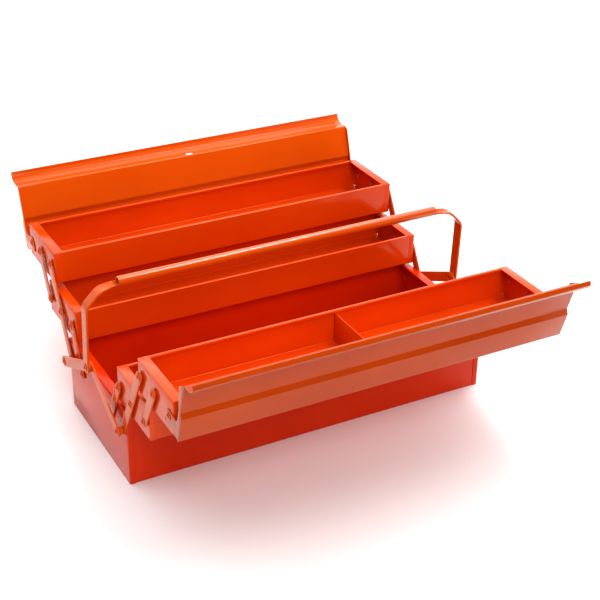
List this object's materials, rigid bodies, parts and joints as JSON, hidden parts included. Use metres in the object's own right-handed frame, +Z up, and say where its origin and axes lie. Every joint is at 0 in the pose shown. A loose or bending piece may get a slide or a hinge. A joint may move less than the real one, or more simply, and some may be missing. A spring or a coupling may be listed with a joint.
{
  "type": "cantilever tool box",
  "caption": "Steel cantilever tool box standing open: deep base, stepped trays on crossed end arms, two hinged lid halves and an upright tubular carrying handle.",
  "frame": {"origin": "centre of the underside of the base", "axes": "+X along the length of the box to its right end, +Y to the rear, +Z up"},
  "size_m": [0.5642, 0.6292, 0.267],
  "materials": {
    "case": "gloss enamel",
    "tray": "gloss enamel",
    "linkage": "gloss enamel",
    "rivet": "gloss enamel",
    "grip_tube": "gloss enamel"
  },
  "bodies": {
    "root": {"base_box": "case", "front_handle_strut_left": "linkage", "front_handle_strut_right": "linkage", "front_base_rivet_left": "rivet", "front_base_rivet_right": "rivet", "front_lower_arm_base_rivet_left": "rivet", "front_lower_arm_base_rivet_right": "rivet", "rear_handle_strut_left": "linkage", "rear_handle_strut_right": "linkage", "rear_base_rivet_left": "rivet", "rear_base_rivet_right": "rivet", "rear_lower_arm_base_rivet_left": "rivet", "rear_lower_arm_base_rivet_right": "rivet", "handle_rivet_left": "rivet", "handle_rivet_right": "rivet"},
    "front_long_arms": {"front_long_arm_left": "linkage", "front_long_arm_right": "linkage"},
    "front_mid_tray": {"front_mid_tray": "tray", "front_long_arm_mid_rivet_left": "rivet", "front_long_arm_mid_rivet_right": "rivet", "front_lower_arm_tray_rivet_left": "rivet", "front_lower_arm_tray_rivet_right": "rivet", "front_upper_arm_mid_rivet_left": "rivet", "front_upper_arm_mid_rivet_right": "rivet"},
    "front_top_tray": {"front_top_tray": "tray", "tray_divider": "tray", "front_long_arm_top_rivet_left": "rivet", "front_long_arm_top_rivet_right": "rivet", "front_upper_arm_top_rivet_left": "rivet", "front_upper_arm_top_rivet_right": "rivet", "front_lid_rivet_left": "rivet", "front_lid_rivet_right": "rivet"},
    "front_lower_arms": {"front_lower_arm_left": "linkage", "front_lower_arm_right": "linkage"},
    "front_upper_arms": {"front_upper_arm_left": "linkage", "front_upper_arm_right": "linkage"},
    "front_lid": {"front_lid": "case"},
    "rear_long_arms": {"rear_long_arm_left": "linkage", "rear_long_arm_right": "linkage"},
    "rear_mid_tray": {"rear_mid_tray": "tray", "rear_long_arm_mid_rivet_left": "rivet", "rear_long_arm_mid_rivet_right": "rivet", "rear_lower_arm_tray_rivet_left": "rivet", "rear_lower_arm_tray_rivet_right": "rivet", "rear_upper_arm_mid_rivet_left": "rivet", "rear_upper_arm_mid_rivet_right": "rivet"},
    "rear_top_tray": {"rear_top_tray": "tray", "rear_long_arm_top_rivet_left": "rivet", "rear_long_arm_top_rivet_right": "rivet", "rear_upper_arm_top_rivet_left": "rivet", "rear_upper_arm_top_rivet_right": "rivet", "rear_lid_rivet_left": "rivet", "rear_lid_rivet_right": "rivet"},
    "rear_lower_arms": {"rear_lower_arm_left": "linkage", "rear_lower_arm_right": "linkage"},
    "rear_upper_arms": {"rear_upper_arm_left": "linkage", "rear_upper_arm_right": "linkage"},
    "rear_lid": {"rear_lid": "case"},
    "handle": {"handle_bail": "linkage", "handle_grip": "grip_tube"}
  },
  "joints": [
    {"name": "front_cantilever", "type": "hinge", "parent": "root", "child": "front_long_arms", "pos_m": [0, -0.094, 0.078], "axis": [-1, 0, 0], "range_deg": [0, 68.46]},
    {"name": "front_mid_tray_pivot", "type": "hinge", "parent": "front_long_arms", "child": "front_mid_tray", "pos_m": [0, -0.1265, 0.13544], "axis": [-1, 0, 0], "range_deg": [-68.46, 0]},
    {"name": "front_top_tray_pivot", "type": "hinge", "parent": "front_long_arms", "child": "front_top_tray", "pos_m": [0, -0.159, 0.19289], "axis": [-1, 0, 0], "range_deg": [-68.46, 0]},
    {"name": "front_lower_arms_pivot", "type": "hinge", "parent": "root", "child": "front_lower_arms", "pos_m": [0, -0.0525, 0.078], "axis": [-1, 0, 0], "range_deg": [0, 68.46]},
    {"name": "front_upper_arms_pivot", "type": "hinge", "parent": "front_mid_tray", "child": "front_upper_arms", "pos_m": [0, -0.168, 0.13544], "axis": [-1, 0, 0], "range_deg": [0, 68.46]},
    {"name": "front_lid_hinge", "type": "hinge", "parent": "front_top_tray", "child": "front_lid", "pos_m": [0, -0.242, 0.18755], "axis": [-1, 0, 0], "range_deg": [0, 107]},
    {"name": "rear_cantilever", "type": "hinge", "parent": "root", "child": "rear_long_arms", "pos_m": [0, 0.094, 0.078], "axis": [1, 0, 0], "range_deg": [0, 68.46]},
    {"name": "rear_mid_tray_pivot", "type": "hinge", "parent": "rear_long_arms", "child": "rear_mid_tray", "pos_m": [0, 0.1265, 0.13544], "axis": [1, 0, 0], "range_deg": [-68.46, 0]},
    {"name": "rear_top_tray_pivot", "type": "hinge", "parent": "rear_long_arms", "child": "rear_top_tray", "pos_m": [0, 0.159, 0.19289], "axis": [1, 0, 0], "range_deg": [-68.46, 0]},
    {"name": "rear_lower_arms_pivot", "type": "hinge", "parent": "root", "child": "rear_lower_arms", "pos_m": [0, 0.0525, 0.078], "axis": [1, 0, 0], "range_deg": [0, 68.46]},
    {"name": "rear_upper_arms_pivot", "type": "hinge", "parent": "rear_mid_tray", "child": "rear_upper_arms", "pos_m": [0, 0.168, 0.13544], "axis": [1, 0, 0], "range_deg": [0, 68.46]},
    {"name": "rear_lid_hinge", "type": "hinge", "parent": "rear_top_tray", "child": "rear_lid", "pos_m": [0, 0.242, 0.18755], "axis": [1, 0, 0], "range_deg": [0, 107]},
    {"name": "handle_swing", "type": "hinge", "parent": "root", "child": "handle", "pos_m": [0, -0.007, 0.125], "axis": [1, 0, 0], "range_deg": [-34, 25]}
  ],
  "couplings": [
    {"joint": "front_mid_tray_pivot", "follows": "front_cantilever", "ratio": -1},
    {"joint": "front_top_tray_pivot", "follows": "front_cantilever", "ratio": -1},
    {"joint": "front_lower_arms_pivot", "follows": "front_cantilever", "ratio": 1},
    {"joint": "front_upper_arms_pivot", "follows": "front_cantilever", "ratio": 1},
    {"joint": "rear_mid_tray_pivot", "follows": "rear_cantilever", "ratio": -1},
    {"joint": "rear_top_tray_pivot", "follows": "rear_cantilever", "ratio": -1},
    {"joint": "rear_lower_arms_pivot", "follows": "rear_cantilever", "ratio": 1},
    {"joint": "rear_upper_arms_pivot", "follows": "rear_cantilever", "ratio": 1}
  ]
}
